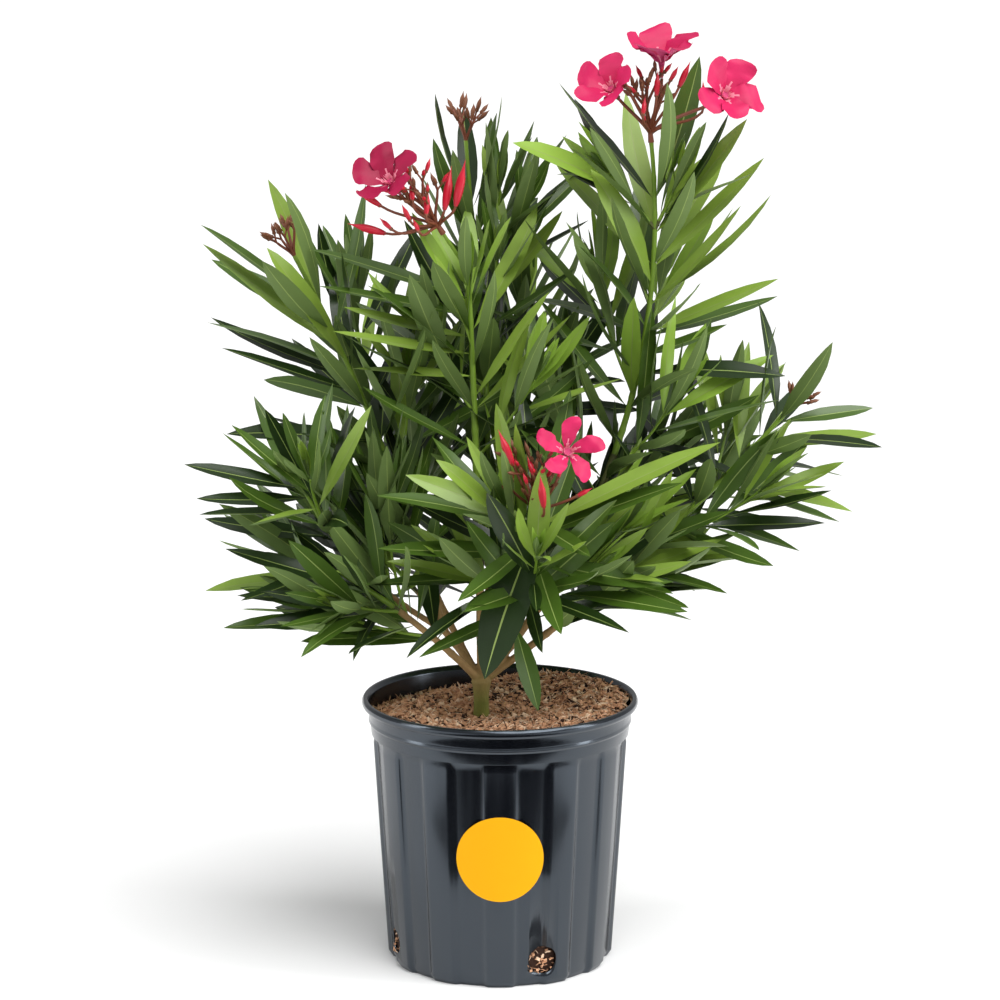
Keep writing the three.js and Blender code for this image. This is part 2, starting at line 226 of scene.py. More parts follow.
BLOSSOM_SLOTS = [
    finish("petal", linear(212, 30, 94), 0.5, shade=0.45, size=55, grain=200, gloss=0.3),
    finish("petal_back", linear(208, 66, 122), 0.55, shade=0.35, size=45, grain=200, gloss=0.3),
    finish("throat", linear(232, 138, 160), 0.55, shade=0.2, size=120, gloss=0.3),
    finish("bud", linear(196, 8, 44), 0.38, shade=0.3, size=80),
    finish("stalk", linear(128, 66, 42), 0.55, shade=0.35, size=90),
    finish("calyx", linear(122, 72, 44), 0.6, shade=0.4, size=150),
    # A darker copy of the petal colour: painted shade for the left-hand flower.
    finish("petal_shaded", linear(164, 12, 66), 0.5, shade=0.4, size=55, grain=200, gloss=0.3),
]
PETAL, PETAL_BACK, THROAT, BUD, STALK, CALYX, PETAL_SHADED = range(7)

GREEN_BELOW, BROWN_ABOVE = 0.25, 0.28       # heights on the stem, in metres


def bark():
    """Mottled bark, green on the stem and browner up the boughs."""
    material = finish("bark", linear(150, 124, 78), 0.75, shade=0.5, size=150, grain=420, relief=0.8,
                      rise=0.6, gloss=0.3)
    tree = material.node_tree
    place = add_node(tree, "ShaderNodeTexCoord")
    parts = add_node(tree, "ShaderNodeSeparateXYZ")
    climb = add_node(tree, "ShaderNodeMapRange", {"From Min": GREEN_BELOW, "From Max": BROWN_ABOVE})
    blend = add_node(tree, "ShaderNodeMix")
    blend.data_type = "RGBA"
    set_inputs(blend, {"A": (*linear(122, 124, 54), 1), "B": (*linear(160, 128, 84), 1)})
    mottle = next(node for node in tree.nodes if node.type == "GROUP")
    wire(place, "Object", parts, "Vector")
    wire(parts, "Z", climb, "Value")
    wire(climb, "Result", blend, "Factor")
    wire(blend, "Result", mottle, "Colour")
    return material


BARK = bark()


def chip_finish(name, colour, roughness=0.9, shade=0.35):
    return finish(name, linear(*colour), roughness, shade=shade, size=150, grain=500, relief=0.8, rise=1,
                  gloss=0.2)


MIX_SLOTS = [
    chip_finish("mix_brown", (204, 152, 118)),
    chip_finish("mix_red", (228, 176, 140)),
    chip_finish("mix_tan", (248, 214, 184), shade=0.3),
    # Dark chips here and there, and the body of the mix under all chips, whose dark colour paints the shade
    # in the gaps between them.
    chip_finish("mix_dark_and_gap_shade", (62, 42, 34), 0.95, 0.5),
]


def pot_plastic():
    """Black blow-moulded plastic: glossy, faintly rippled, dustier and scuffed here and there."""
    material = finish("pot_plastic", linear(10, 12, 17), 0.3, shade=0.2, size=30, grain=40, relief=0.12,
                      rise=0.5, gloss=0.9)
    tree = material.node_tree
    surface = set_inputs(tree.nodes["Principled BSDF"], {"Specular Tint": (0.74, 0.86, 1.0, 1)})
    place = add_node(tree, "ShaderNodeTexCoord")
    stretch = add_node(tree, "ShaderNodeMapping", {"Scale": (60, 60, 4)})
    streak = add_node(tree, "ShaderNodeTexNoise", {"Scale": 1.0, "Detail": 5})
    dust = add_node(tree, "ShaderNodeMapRange",
                    {"From Min": 0.3, "From Max": 0.75, "To Min": 0.14, "To Max": 0.28})
    wire(place, "Object", stretch, "Vector")
    wire(stretch, "Vector", streak, "Vector")
    wire(streak, "Fac", dust, "Value")
    wire(dust, "Result", surface, "Roughness")
    return material


POT_PLASTIC = pot_plastic()
LABEL_FILM = finish("label_film", linear(232, 164, 0), 0.5, shade=0.06, size=40, grain=900, relief=0.05,
                    rise=0.1, gloss=0.15)
FLOOR_PAINT = finish("floor_paint", (0.9, 0.9, 0.9), 0.8, shade=0.0, relief=0)
FLAG_BLACK = finish("flag_black", (0.002, 0.002, 0.002), 0.9, shade=0.0, relief=0, gloss=0)

# Pieces from arrays -------------------------------------------------------------------


def arrays_of(bm):
    """The points and faces of a bmesh, and each face's material."""
    bm.verts.index_update()
    points = np.array([v.co for v in bm.verts])
    faces = [[v.index for v in face.verts] for face in bm.faces]
    slots = [face.material_index for face in bm.faces]
    bm.free()
    return points, faces, slots


class Pile:
    """Small things of one kind, gathered as points and faces, to be joined into one mesh."""

    def __init__(self):
        self.points, self.faces, self.slots, self.count = [], [], [], 0

    def add(self, points, faces, slots):
        self.points.append(points)
        self.faces.extend([[i + self.count for i in face] for face in faces])
        self.slots.extend(slots)
        self.count += len(points)


def settle(piece, slot, *nodes):
    """Attaches a finished piece to the root body and hides the CAD nodes it stands for; slot is not used."""
    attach(piece, "root")
    if nodes:
        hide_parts(*nodes)


def piece_of(name, mesh, materials, sharp=50):
    for material in materials:
        mesh.materials.append(material)
    mesh.shade_smooth()
    mesh.set_sharp_from_angle(angle=math.radians(sharp))
    return in_scene(name, mesh)


def piece_of_pile(name, pile, materials, sharp=50):
    mesh = bpy.data.meshes.new(name)
    mesh.from_pydata(np.vstack(pile.points).tolist(), [], pile.faces)
    mesh.polygons.foreach_set("material_index", pile.slots)
    return piece_of(name, mesh, materials, sharp)


def piece_of_bmesh(name, bm, materials, sharp=50):
    mesh = bpy.data.meshes.new(name)
    bm.to_mesh(mesh)
    bm.free()
    return piece_of(name, mesh, materials, sharp)


def applied(piece):
    """The mesh of a piece with its modifiers worked in; they are taken off the piece."""
    bpy.context.view_layer.update()
    mesh = bpy.data.meshes.new_from_object(piece.evaluated_get(bpy.context.evaluated_depsgraph_get()))
    piece.modifiers.clear()
    return mesh


def lathe(profile, steps):
    """Spins an outline of radii and heights, in metres, once round the upright axis."""
    bm = bmesh.new()
    verts = [bm.verts.new((radius, 0, height)) for radius, height in profile]
    for a, b in zip(verts, verts[1:]):
        bm.edges.new((a, b))
    bmesh.ops.spin(bm, geom=bm.verts[:] + bm.edges[:], cent=(0, 0, 0), axis=(0, 0, 1), angle=2 * math.pi,
                   steps=steps, use_merge=True, use_duplicate=False)
    bmesh.ops.remove_doubles(bm, verts=bm.verts, dist=0.01 * MM)
    return bm


def in_mm(profile):
    return [(radius * MM, height * MM) for radius, height in profile]


# Directions ---------------------------------------------------------------------------


def unit(vectors):
    return vectors / np.linalg.norm(vectors, axis=-1, keepdims=True)


def between(first, second, angle):
    """The direction at this angle from the first towards the second, which are square."""
    return math.cos(angle) * first + math.sin(angle) * second


def across_of(along, face):
    """The part of a direction square to another one."""
    return unit(face - (face @ along) * along)


def heading(turn, rise):
    turn, rise = math.radians(turn), math.radians(rise)
    return np.array([math.cos(rise) * math.cos(turn), math.cos(rise) * math.sin(turn), math.sin(rise)])


# Lines of growth ----------------------------------------------------------------------


class Line:
    """The middle line of a limb, twig or stalk, with straight run-ons at both ends."""

    def __init__(self, points):
        self.points = np.asarray(points, float)
        steps = np.diff(self.points, axis=0)
        lengths = np.linalg.norm(steps, axis=1)
        self.marks = np.concatenate([[0], np.cumsum(lengths)])
        self.middles = (self.marks[:-1] + self.marks[1:]) / 2
        self.ways = steps / lengths[:, None]
        self.length = self.marks[-1]
        chord = unit(self.points[-1] - self.points[0])
        self.level = unit(np.array([chord[1], -chord[0], 0.01]))

    @classmethod
    def grown(cls, start, turn, rise, length, upturn=0, swing=0, steps=32):
        """Sets out at a compass turn and a rise in degrees, which change evenly by its tip."""
        share = (np.arange(steps) + 0.5) / steps
        compass = np.radians(turn + swing * share)
        climb = np.radians(rise + upturn * share)
        step = np.stack([np.cos(climb) * np.cos(compass), np.cos(climb) * np.sin(compass), np.sin(climb)], 1)
        return cls(np.vstack([start, start + np.cumsum(step, axis=0) * length / steps]))

    @classmethod
    def joining(cls, start, way, end, end_way, steps=12):
        """A smooth stalk from one place and heading to another."""
        reach = np.linalg.norm(np.subtract(end, start))
        t = np.linspace(0, 1, steps + 1)[:, None]
        blend = [2 * t**3 - 3 * t**2 + 1, t**3 - 2 * t**2 + t, 3 * t**2 - 2 * t**3, t**3 - t**2]
        return cls(blend[0] * start + blend[1] * way * reach + blend[2] * end + blend[3] * end_way * reach)

    def way(self, distance):
        return unit(np.stack([np.interp(distance, self.middles, self.ways[:, k]) for k in range(3)], -1))

    def point(self, distance):
        distance = np.asarray(distance, float)
        inside = np.clip(distance, 0, self.length)
        place = np.stack([np.interp(inside, self.marks, self.points[:, k]) for k in range(3)], -1)
        return place + (distance - inside)[..., None] * self.way(distance)

    def frame(self, distance):
        """The line's heading there, and two directions square to it."""
        way = self.way(distance)
        side = unit(self.level - (way @ self.level)[..., None] * way)
        return way, side, np.cross(side, way)


Limb = namedtuple("Limb", "on at turn rise length upturn swing foot tip bare")

# Each limb as the frame has it: what it grows from and where, compass turn and rise in
# degrees, length in mm, change of rise and turn by its tip, radii in mm, bare length in mm.
LIMBS = {
    "left_low": Limb(None, 0, 210, 46, 150, -10, -10, 4.2, 3, 112),
    "left": Limb(None, 0, 155, 56, 62, -10, 10, 4.4, 4, 60),
    "left_high": Limb("left", 58, 155, 73, 360, -10, 25, 3.6, 2.6, 70),
    "left_out": Limb("left", 60, 200, 30, 205, 35, 5, 3.4, 2.6, 70),
    "middle": Limb(None, 0, 100, 87, 405, 0, 60, 4.8, 3, 112),
    "flower_stalk": Limb("middle", 375, 205, 55, 90, 0, 0, 2, 1.6, 0),
    "rear_high": Limb("middle", 100, 70, 66, 425, 20, 75, 3.4, 2.4, 0),
    "leader": Limb(None, 0, 15, 47, 530, 50, 5, 4.6, 2.8, 150),
    "leader_left": Limb("leader", 450, 178, 50, 85, 0, 0, 2, 1.6, 0),
    "leader_right": Limb("leader", 450, -10, 62, 90, 15, 0, 2, 1.6, 0),
    "front": Limb(None, 0, -25, 55, 200, 5, -75, 4, 3.2, 105),
    "right": Limb(None, 0, 10, 34, 400, 15, -5, 4.2, 2.6, 112),
    "rear_right": Limb(None, 0, 45, 37, 340, 20, -35, 3.8, 2.6, 105),
    "rear": Limb(None, 0, 85, 47, 315, 15, -5, 4, 2.6, 100),
    "rear_left": Limb(None, 0, 130, 44, 425, 45, 20, 4, 2.6, 100),
    "rear_top": Limb("rear", 190, 55, 68, 200, 15, 0, 2.6, 2, 0),
    "low_rear_left": Limb("rear_left", 60, 128, 22, 165, 10, 0, 2.8, 2.2, 60),
    "low_rear_right": Limb("rear", 60, 38, 20, 165, 12, 0, 2.8, 2.2, 60),
}

# The masses of leaves along each limb: where each one starts, in mm from the limb's start.
STRETCHES = {
    "leader_left": [(8, "leaves_top_left")],
    "leader_right": [(8, "leaves_top_right")],
    "left_out": [(108, "leaves_left_tip")],
    "left_low": [(78, "leaves_left_low")],
    "right": [(98, "leaves_right_low"), (200, "leaves_right"), (300, "leaves_right_tip")],
    "front": [(112, "leaves_front")],
    "left_high": [(90, "leaves_left_middle"), (200, "leaves_left_high")],
    "leader": [(135, "leaves_leader_low"), (250, "leaves_leader"), (372, "leaves_leader_high")],
    "middle": [(92, "leaves_middle_low"), (190, "leaves_middle"), (300, "leaves_middle_high")],
    "rear_high": [(150, "leaves_rear_middle"), (270, "leaves_rear_high")],
    "rear_top": [(70, "leaves_rear_top")],
    "rear_left": [(92, "leaves_rear_left_low"), (205, "leaves_rear_left"), (320, "leaves_rear_left_top")],
    "rear_right": [(98, "leaves_rear_right"), (225, "leaves_rear_right_tip")],
    "rear": [(92, "leaves_rear"), (205, "leaves_rear_tip")],
    "low_rear_left": [(50, "leaves_low_rear_left")],
    "low_rear_right": [(50, "leaves_low_rear_right")],
}

Leafing = namedtuple("Leafing", "start stop tip_angle low_angle leaf turn twigs tuft tint gap")

# How each limb is clothed: where its leaves start, and stop short of its tip, in mm, the angle
# of the youngest and the oldest leaves from it, leaf length in mm, the turn of its first whorl,
# the number of side twigs, whether it ends in a tuft of young leaves, how light its green is,
# a lightness that also paints light on the top limbs and shade on the low and rear ones, and
# the widest gap between whorls in mm.
LEAFING = {
    "leader": Leafing(85, 52, 30, 66, 138, 0, 2, False, 0.3, 33),
    "leader_left": Leafing(14, 24, 18, 50, 86, 20, 0, True, 0.5, 30),
    "leader_right": Leafing(12, 44, 18, 50, 92, 50, 0, True, 0.5, 30),
    "left_out": Leafing(36, 6, 35, 84, 128, 10, 3, True, -0.2, 28),
    "left_low": Leafing(40, 4, 40, 84, 128, 40, 2, True, -0.2, 28),
    "right": Leafing(76, 40, 30, 74, 122, 15, 3, False, 0.1, 28),
    "front": Leafing(84, 2, 62, 86, 134, 30, 2, False, -0.1, 22),
    "left_high": Leafing(70, 44, 24, 62, 132, 0, 1, False, 0.0, 36),
    "middle": Leafing(75, 44, 24, 66, 122, 25, 2, True, 0.2, 36),
    "rear_high": Leafing(130, 88, 20, 54, 112, 40, 2, False, -0.2, 36),
    "rear_top": Leafing(60, 14, 22, 58, 118, 0, 1, True, -0.2, 32),
    "rear_left": Leafing(80, 40, 24, 62, 118, 30, 1, True, -0.3, 36),
    "rear_right": Leafing(80, 64, 30, 70, 118, 10, 2, True, -0.2, 32),
    "rear": Leafing(80, 10, 26, 70, 120, 45, 2, True, -0.3, 32),
    "low_rear_left": Leafing(60, 10, 30, 76, 110, 20, 1, True, -0.3, 34),
    "low_rear_right": Leafing(60, 10, 30, 76, 106, 0, 1, True, -0.3, 34),
}

# Side twigs that shape the outline: the limb, mm along it, turn, rise, length in mm, upturn.
SIDE_TWIGS = [
    ("left_low", 70, 186, 6, 105, 22),
    ("left_low", 110, 226, 10, 62, 8),
    ("left_out", 50, 178, 12, 100, 25),
    ("front", 90, -20, 26, 70, 10),
    ("front", 100, 215, 24, 60, 15),
    ("right", 110, -28, 32, 80, 18),
    ("right", 250, 60, 10, 90, 12),
    ("leader", 110, -20, 30, 80, 20),
    ("leader", 300, 140, 58, 100, 15),
    ("leader", 200, 150, 52, 90, 15),
    ("middle", 205, -15, 46, 90, 15),
    ("rear_top", 50, -20, 48, 90, 15),
    ("rear_high", 240, 10, 62, 100, 12),
]

LoneLeaf = namedtuple("LoneLeaf", "at turn rise length width curve tint")

# Leaves laid one by one, by limb: mm along it, turn, rise, length and width in mm, how far each
# arches up, and its green, the darkest also painting shade and the lightest also painting light.
LONE_LEAVES = {
    "leader": [
        (445, -15, 50, 135, 27, 0.1, LIGHT_AND_LIT), (415, 5, 42, 140, 20, 0.2, LIGHT_AND_LIT),
        (380, -20, 42, 132, 24, 0.3, LIGHT_AND_LIT), (355, 0, 22, 130, 20, 0.2, LIGHT_AND_LIT),
        (335, -20, 15, 90, 20, 0.4, MID), (400, -140, 62, 125, 27, -0.1, LIGHT_AND_LIT),
        (360, -140, 52, 105, 26, -0.2, MID), (295, -95, 66, 100, 22, -0.2, YOUNG),
    ],
    "leader_left": [
        (40, -160, 32, 118, 31, -0.2, YOUNG), (25, 160, 58, 115, 14, 0.0, DARK_AND_SHADED),
    ],
    "middle": [
        (350, 180, 18, 150, 20, 0.15, MID), (335, -170, 12, 140, 20, 0.1, MID),
        (315, -170, 12, 120, 18, 0.2, LIGHT_AND_LIT), (300, -160, 10, 135, 20, 0.15, LIGHT_AND_LIT),
        (280, -170, 5, 110, 20, 0.1, LIGHT_AND_LIT), (305, -115, 58, 112, 25, -0.1, LIGHT_AND_LIT),
        (260, -25, 52, 125, 17, 0.2, LIGHT_AND_LIT),
    ],
    "left_high": [
        (275, 180, 35, 155, 24, 0.3, LIGHT_AND_LIT), (245, 180, 18, 140, 20, 0.2, DARK_AND_SHADED),
        (230, -165, 18, 135, 20, 0.2, DARK_AND_SHADED), (260, -140, 55, 140, 26, 0, LIGHT_AND_LIT),
    ],
    "left_out": [
        (195, 180, 10, 108, 21, 0.2, DARK_AND_SHADED), (185, -170, -2, 100, 20, 0.2, DARK_AND_SHADED),
    ],
    "left_low": [
        (150, 180, 15, 130, 21, 0.2, DARK_AND_SHADED), (140, -175, -5, 122, 22, 0.2, DARK_AND_SHADED),
    ],
    "right": [
        (330, -10, 8, 112, 20, 0.1, LIGHT_AND_LIT), (290, -10, -12, 120, 21, 0.1, LIGHT_AND_LIT),
        (245, -5, -28, 115, 20, 0.1, MID),
    ],
    "front": [
        (190, -165, 20, 145, 24, -0.2, MID), (160, -165, 5, 145, 26, 0.1, MID),
        (135, -178, -4, 150, 22, 0.1, MID), (190, -5, 28, 180, 23, 0.1, LIGHT_AND_LIT),
        (150, -10, -22, 125, 24, 0.1, MID), (186, -122, -46, 140, 41, -0.5, DARK_AND_SHADED),
        (70, -60, -58, 80, 19, -0.1, MID),
    ],
}


def trunk_fork():
    """The boughs' common start, a little under the top of the trunk's knobbly head."""
    low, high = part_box("trunk")
    return np.array([(low.x + high.x) / 2, (low.y + high.y) / 2 + 3.5 * MM, high.z - 7 * MM])


def grow_limbs():
    lines = {}
    for name, limb in LIMBS.items():
        start = lines[limb.on].point(limb.at * MM) if limb.on else trunk_fork()
        lines[name] = Line.grown(start, limb.turn, limb.rise, limb.length * MM, limb.upturn, limb.swing)
    return lines


LINES = grow_limbs()

# Leaves -------------------------------------------------------------------------------

BLADE_ROWS = (0, 0.05, 0.15, 0.3, 0.46, 0.62, 0.78, 0.91, 1)
BLADE_OUTLINE = (0, 0.11, 0.43, 0.84, 1, 0.96, 0.76, 0.4, 0)
RIB = 0.045


def blade(columns, back_columns, rows, outline, thick, slots):
    """A closed blade: an upper and an under grid of unit length and half width, joined at the rim.

    slots are the materials of the upper side, of the rib and of the back.
    """
    bm = bmesh.new()
    for places, over in ((columns, True), (back_columns, False)):
        grid = bmesh.ops.create_grid(bm, x_segments=len(places) - 1, y_segments=len(rows) - 1, size=0.5)
        for vert in grid["verts"]:
            column = round((vert.co.x + 0.5) * (len(places) - 1))
            row = round((vert.co.y + 0.5) * (len(rows) - 1))
            across = places[column]
            swell = thick * (1 - across * across) * (1 if 0 < row < len(rows) - 1 else 0)
            if not over and abs(across) < 0.2:
                swell *= 2.5
            vert.co = (across * outline[row], rows[row], swell if over else -swell)
        faces = {face for vert in grid["verts"] for face in vert.link_faces}
        for face in faces:
            middle = abs(sum(v.co.x for v in face.verts)) < 1e-6 and len(places) > 3
            face.material_index = slots[1] if middle else slots[0 if over else 2]
        if not over:
            bmesh.ops.reverse_faces(bm, faces=list(faces))
    bmesh.ops.remove_doubles(bm, verts=bm.verts, dist=1e-6)
    bmesh.ops.dissolve_degenerate(bm, edges=bm.edges, dist=1e-7)
    return arrays_of(bm)


LEAF = blade((-1, -0.5, -RIB, RIB, 0.5, 1), (-1, -RIB, RIB, 1), BLADE_ROWS, BLADE_OUTLINE,
             0.2 * MM, (0, RIB_SLOT, BACK_SLOT))

LIGHTWARD = np.array([-0.15, -0.65, 0.45])      # leaves turn their upper sides this way

# The low and high corners of the crown's room, and how low a leaf tip may hang in it: less so
# towards the front, by the leaf's foot, and towards the right, by its tip. All in metres.
LEAF_ROOM = (np.array([-0.296, -0.212, 0.0]), np.array([0.34, 0.228, 0.862]))
HANG_HEIGHT = 0.326
FRONT_START, FRONT_RISE = -0.045, 0.36
RIGHT_START, RIGHT_RISE = 0.03, 0.25


def kept_in(base, along, length):
    """A leaf's heading and length, changed where its tip would leave the crown or hang too low."""
    tip = np.clip(base + length * along, *LEAF_ROOM)
    forward, rightward = max(0, FRONT_START - base[1]), max(0, tip[0] - RIGHT_START)
    tip[2] = max(tip[2], HANG_HEIGHT + FRONT_RISE * forward + RIGHT_RISE * rightward)
    return unit(tip - base), min(length, np.linalg.norm(tip - base))


BLADE_FACTS = "base along face length width fold curve power hook twist sway wave slot"
Blade = namedtuple("Blade", BLADE_FACTS)


def lay_blades(master, blades, pile, tinted=True):
    """Bends a copy of the master blade into each blade's place and adds them to the pile."""
    points, faces, slots = master
    across, reach, thick = points.T
    base, along, face = (np.array([getattr(b, k) for b in blades]) for k in ("base", "along", "face"))
    facts = {k: np.array([getattr(b, k) for b in blades])[:, None] for k in BLADE_FACTS.split()[3:]}
    side = np.cross(along, face)
    steps = 32
    fine = np.linspace(0, 1, steps + 1)
    middle = (fine[:-1] + fine[1:]) / 2
    bend = facts["curve"] * middle ** facts["power"] + facts["hook"] * middle**3
    start = np.zeros((len(blades), 1))
    forward = np.concatenate([start, np.cumsum(np.cos(bend), axis=1) / steps], axis=1)
    upward = np.concatenate([start, np.cumsum(np.sin(bend), axis=1) / steps], axis=1)
    below = np.minimum((reach * steps).astype(int), steps - 1)
    part = reach * steps - below
    run = forward[:, below] * (1 - part) + forward[:, below + 1] * part
    climb = upward[:, below] * (1 - part) + upward[:, below + 1] * part
    slope = facts["curve"] * reach ** facts["power"] + facts["hook"] * reach**3
    half = facts["width"] / 2
    level = across * half * np.cos(facts["fold"])
    raised = np.abs(across) * half * np.sin(facts["fold"]) + thick
    phase = 15 * reach + 40 * facts["wave"] / MM + 2 * np.sign(across)
    raised = raised + facts["wave"] * np.abs(across) * np.sin(phase)
    turn = facts["twist"] * reach
    level, raised = level * np.cos(turn) - raised * np.sin(turn), level * np.sin(turn) + raised * np.cos(turn)
    ahead = facts["length"] * run - raised * np.sin(slope)
    over = facts["length"] * climb + raised * np.cos(slope)
    level = level + facts["sway"] * facts["length"] * reach**2
    placed = base[:, None]
    for amount, way in ((ahead, along), (over, face), (level, side)):
        placed = placed + amount[..., None] * way[:, None]
    for blade_points, laid in zip(placed, blades):
        own = [laid.slot if slot == 0 and tinted else slot for slot in slots]
        pile.add(blade_points, faces, own)


def leaf(base, stem, out, angle, length, droop, tint, rng):
    """One leaf standing off its stem at an angle, its upper side turned to stem and sky."""
    along, length = kept_in(base, unit(between(stem, out, angle)), length)
    face = across_of(along, math.sin(angle) * stem - math.cos(angle) * out + LIGHTWARD)
    width = (0.168 + rng.normal(0, 0.018)) * length
    curve = rng.normal(0.22, 0.2) - droop
    return Blade(base, along, face, length, max(width, 7 * MM), math.radians(rng.uniform(6, 20)), curve, 1,
                 rng.normal(0.05, 0.12), rng.normal(0, 0.35), rng.normal(0, 0.035),
                 rng.uniform(0, 0.6) * MM, tint)


# Young leaves lighter and old ones darker; the limb's lightness adds painted light on the top limbs and
# painted shade on the low and rear ones.
def tint_of(age, lightness, rng):
    if age < 1.2:
        return YOUNG if lightness > 0.15 else LIGHT_AND_LIT if lightness > -0.15 else MID
    place = lightness + rng.normal(0, 0.45) - 0.06 * age
    return LIGHT_AND_LIT if place > 0.3 else MID if place > -0.35 else DARK_AND_SHADED


def whorls(line, limb_radius, first, last, plan, rng, keep):
    """Leaves in threes down a shoot, each whorl turned half a gap from the one above."""
    distance, age, turn = last, (0.0 if plan.tuft else 1.6), plan.turn
    while distance > first:
        stem, side, out = line.frame(distance)
        young = min(1, 0.58 + 0.25 * age)
        share = min(1, age / 6)
        angle = plan.tip_angle + (plan.low_angle - plan.tip_angle) * share
        for k in range(3):
            away = between(side, out, math.radians(turn + 120 * k + rng.normal(0, 7)))
            lean = math.radians(angle + rng.normal(0, 6))
            length = plan.leaf * MM * young * rng.uniform(0.88, 1.06)
            droop = 0.5 * max(0, share - 0.5) + (0.25 if away[2] < -0.3 else 0)
            base = line.point(distance) + away * limb_radius * 0.8
            keep(distance, leaf(base, stem, away, lean, length, droop, tint_of(age, plan.tint, rng), rng))
        distance -= plan.gap * (0.45 + 0.55 * min(1, age / 2.5)) * MM * rng.uniform(0.92, 1.08)
        turn += 60
        age += 1
    if plan.tuft:
        stem, side, out = line.frame(last)
        for k in range(5):
            away = between(side, out, math.radians(plan.turn + 60 + 72 * k))
            tint = YOUNG if plan.tint > -0.15 else LIGHT_AND_LIT
            keep(last, leaf(line.point(last + 4 * MM), stem, away, math.radians(rng.uniform(5, 16)),
                            plan.leaf * MM * rng.uniform(0.22, 0.42), 0, tint, rng))


def owner(limb, distance):
    """The mass whose stretch of the limb holds this distance."""
    found = [node for start, node in STRETCHES[limb] if start * MM <= distance]
    return found[-1] if found else STRETCHES[limb][0][1]


def twig_of(line, plan, number, rng):
    """A side twig, and how far along its limb it grows."""
    share = 0.06 + 0.66 * (number + rng.uniform(0.2, 0.8)) / plan.twigs
    place = plan.start * MM + (line.length - plan.start * MM) * share
    stem, side, out = line.frame(place)
    away = between(side, out, rng.uniform(0, 2 * math.pi))
    way = unit(between(stem, away, math.radians(rng.uniform(34, 48))) + 0.15 * UP)
    compass = math.degrees(math.atan2(way[1], way[0]))
    climb = math.degrees(math.asin(way[2]))
    length = rng.uniform(60, 105) * MM
    upturn = min(25, 85 - climb)
    return Line.grown(line.point(place), compass, climb, length, upturn, rng.uniform(-15, 15)), place


def lone_blade(line, lone, rng):
    """A leaf laid by itself; those that hang steeply are left out of the crown's limits."""
    base = line.point(lone.at * MM)
    along, length = heading(lone.turn, lone.rise), lone.length * MM
    if lone.rise > -40:
        along, length = kept_in(base, along, length)
    face = across_of(along, 0.7 * UP + LIGHTWARD)
    return Blade(base, along, face, length, lone.width * MM, 0.2, lone.curve - 0.1, 1, rng.normal(0, 0.08),
                 rng.normal(0, 0.2), rng.normal(0, 0.03), 0.3 * MM, lone.tint)


def grow_leaves():
    """All leaves, by the mass they belong to, and the side twigs that carry some of them."""
    sprays = {node: [] for stretches in STRETCHES.values() for _, node in stretches}
    twigs = []
    for order, (name, plan) in enumerate(LEAFING.items()):
        rng = np.random.default_rng(100 + order)
        line, limb = LINES[name], LIMBS[name]
        whorls(line, limb.tip * MM, plan.start * MM, line.length - plan.stop * MM, plan, rng,
               lambda distance, made: sprays[owner(name, distance)].append(made))
        for number in range(plan.twigs):
            twig, place = twig_of(line, plan, number, rng)
            twigs.append((twig, name, place))
    for name, at, turn, rise, length, upturn in SIDE_TWIGS:
        twigs.append((Line.grown(LINES[name].point(at * MM), turn, rise, length * MM, upturn), name, at * MM))
    rng = np.random.default_rng(90)
    for name, rows in LONE_LEAVES.items():
        for row in rows:
            lone = LoneLeaf(*row)
            sprays[owner(name, lone.at * MM)].append(lone_blade(LINES[name], lone, rng))
    for order, (twig, name, place) in enumerate(twigs):
        rng = np.random.default_rng(300 + order)
        plan = LEAFING[name]
        clothed = Leafing(0, 0, 24, 62, plan.leaf * 0.93, rng.uniform(0, 60), 0, True, plan.tint, 28)
        whorls(twig, 1.7 * MM, 16 * MM, twig.length, clothed, rng,
               lambda distance, made: sprays[owner(name, place)].append(made))
    return sprays, twigs


def make_sprays():
    sprays, twigs = grow_leaves()
    for node, leaves in sprays.items():
        pile = Pile()
        lay_blades(LEAF, leaves, pile)
        piece = piece_of_pile(node.replace("leaves_", "spray_"), pile, LEAF_SLOTS, 70)
        settle(piece, "leaf", node)
    return twigs


# Shoots and bark ----------------------------------------------------------------------


def straight_rod(sides, rings):
    """A closed rod, one unit tall and one in radius, drawn up from a ring of edges."""
    bm = bmesh.new()
    bmesh.ops.create_circle(bm, cap_ends=False, segments=sides, radius=1)
    bmesh.ops.spin(bm, geom=bm.verts[:] + bm.edges[:], cent=(0, 0, 0), axis=(0, 0, 1), dvec=(0, 0, 1 / rings),
                   angle=0, steps=rings, use_duplicate=False)
    bmesh.ops.holes_fill(bm, edges=[edge for edge in bm.edges if edge.is_boundary], sides=sides)
    bmesh.ops.recalc_face_normals(bm, faces=bm.faces)
    return arrays_of(bm)


def bend_rod(rod, line, start, end, radius_at, slot, pile):
    """Lays a rod along a stretch of a line; radius_at gives the radius at each distance."""
    points, faces, _ = rod
    distance = start + points[:, 2] * (end - start)
    _, side, out = line.frame(distance)
    radius = radius_at(distance)
    across, over = (points[:, :2].T * radius)[..., None]
    pile.add(line.point(distance) + across * side + over * out, faces, [slot] * len(faces))


def cut_short(limb):
    """How far a limb's stem stops short of the limb's tip, in mm: at its tuft or its flowers."""
    plan = LEAFING.get(limb)
    if plan and plan.tuft and limb != "middle":
        return plan.stop
    if limb in DRY_TIPS:
        return DRY_TIPS[limb][2]
    return dict(HEAD_SHOOT.values()).get(limb, 0)


